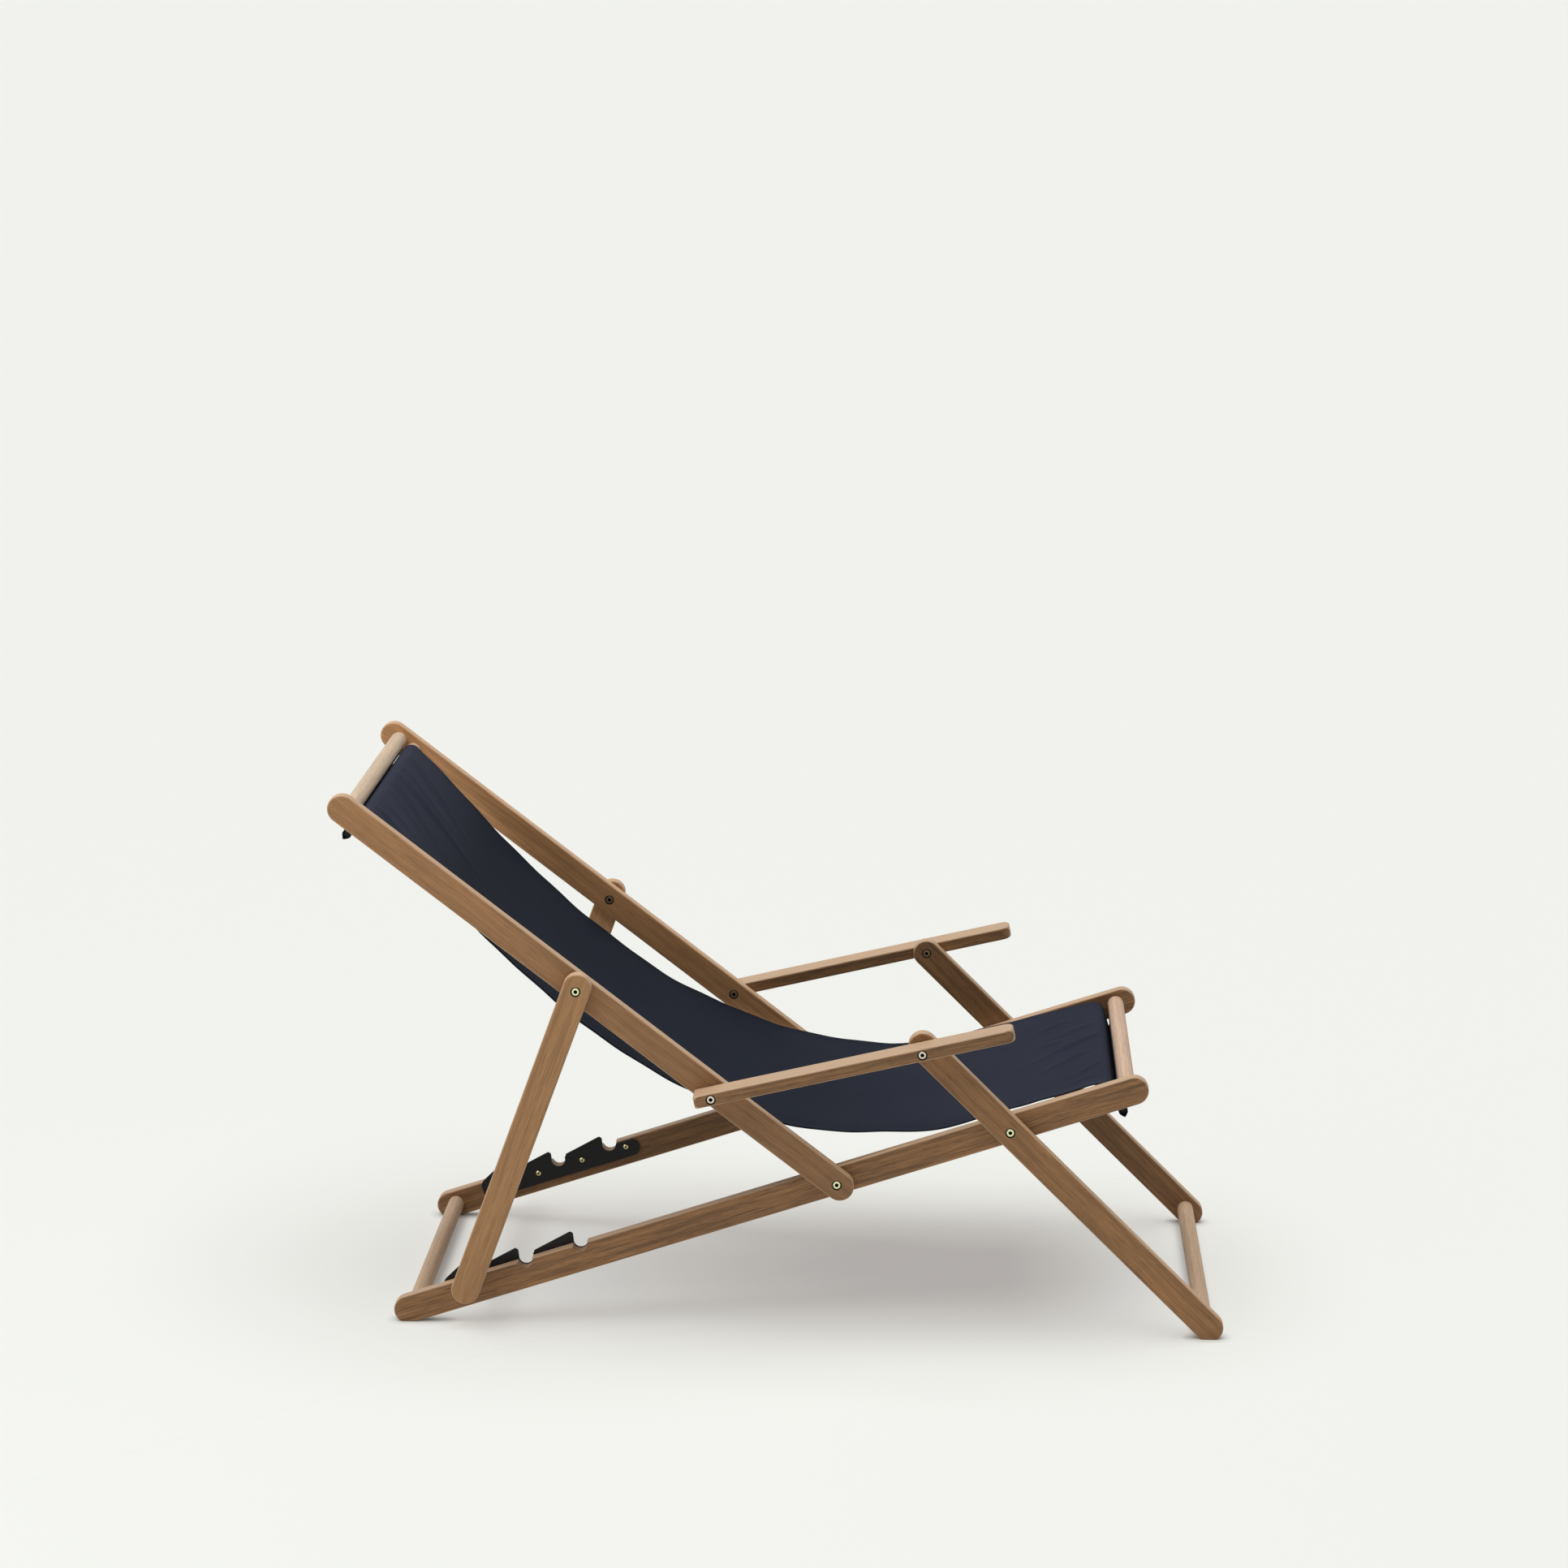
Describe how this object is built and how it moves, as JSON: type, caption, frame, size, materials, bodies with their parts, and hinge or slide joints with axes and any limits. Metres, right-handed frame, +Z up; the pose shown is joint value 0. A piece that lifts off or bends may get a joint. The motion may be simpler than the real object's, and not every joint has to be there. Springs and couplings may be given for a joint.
{
  "type": "deck chair",
  "caption": "Folding wooden deck chair with armrests, a fabric sling slung between round bars, and a prop whose crossbar drops into hooked notches to set the recline.",
  "frame": {"origin": "on the floor, at the middle of the chair's length and width when it is set up", "axes": "+X the way the sitter faces, +Y to the sitter's left, +Z up"},
  "size_m": [1.2558, 0.668, 0.7666],
  "materials": {
    "slat_wood": "oiled, satin",
    "dowel_wood": "sanded, matt",
    "sling_fabric": "matt woven canvas",
    "plate_steel": "black, satin",
    "bolt_zinc": "zinc plated",
    "nut_dark": "dark plated",
    "screw_brass": "yellow plated",
    "black_plastic": "matt"
  },
  "bodies": {
    "seat_frame": {"seat_rail_right": "slat_wood", "seat_rail_left": "slat_wood", "seat_front_dowel": "dowel_wood", "seat_sling_bar": "dowel_wood", "rear_foot_dowel": "dowel_wood", "notch_plate_right": "plate_steel", "notch_plate_left": "plate_steel", "notch_plate_screws": "screw_brass", "sling": "sling_fabric", "seat_hem_rod": "black_plastic"},
    "back_frame": {"back_rail_right": "slat_wood", "back_rail_left": "slat_wood", "head_dowel": "dowel_wood", "head_sling_bar": "dowel_wood", "head_hem_rod": "black_plastic", "main_pivot_bolts": "bolt_zinc", "main_pivot_nuts": "nut_dark", "main_pivot_washers": "black_plastic"},
    "front_legs": {"front_leg_right": "slat_wood", "front_leg_left": "slat_wood", "front_foot_dowel": "dowel_wood", "leg_pivot_bolts": "bolt_zinc", "leg_pivot_nuts": "nut_dark", "leg_pivot_washers": "black_plastic"},
    "prop_frame": {"prop_right": "slat_wood", "prop_left": "slat_wood", "prop_crossbar": "dowel_wood", "prop_pivot_bolts": "bolt_zinc", "prop_pivot_nuts": "nut_dark", "prop_pivot_washers": "black_plastic"},
    "arms": {"armrest_right": "slat_wood", "armrest_left": "slat_wood", "arm_rear_pivot_bolts": "bolt_zinc", "arm_rear_pivot_nuts": "nut_dark", "arm_rear_pivot_washers": "black_plastic", "arm_front_pivot_bolts": "bolt_zinc", "arm_front_pivot_nuts": "nut_dark", "arm_front_pivot_washers": "black_plastic"}
  },
  "joints": [
    {"name": "back_fold", "type": "hinge", "parent": "seat_frame", "child": "back_frame", "pos_m": [0.08227, 0, 0.217], "axis": [0, 1, 0], "range_deg": [-55.7, 0], "deforming": ["sling"]},
    {"name": "leg_fold", "type": "hinge", "parent": "seat_frame", "child": "front_legs", "pos_m": [0.32451, 0, 0.29664], "axis": [0, 1, 0], "range_deg": [-62.95, 0]},
    {"name": "arm_fold", "type": "hinge", "parent": "back_frame", "child": "arms", "pos_m": [-0.09227, 0, 0.35093], "axis": [0, 1, 0], "range_deg": [0, 50.61]},
    {"name": "prop_swing", "type": "hinge", "parent": "back_frame", "child": "prop_frame", "pos_m": [-0.28188, 0, 0.49642], "axis": [0, 1, 0], "range_deg": [0, 119.22]}
  ],
  "couplings": [
    {"joint": "leg_fold", "follows": "back_fold", "ratio": 1.1299},
    {"joint": "arm_fold", "follows": "back_fold", "ratio": -0.9083},
    {"joint": "prop_swing", "follows": "back_fold", "ratio": -2.14}
  ]
}
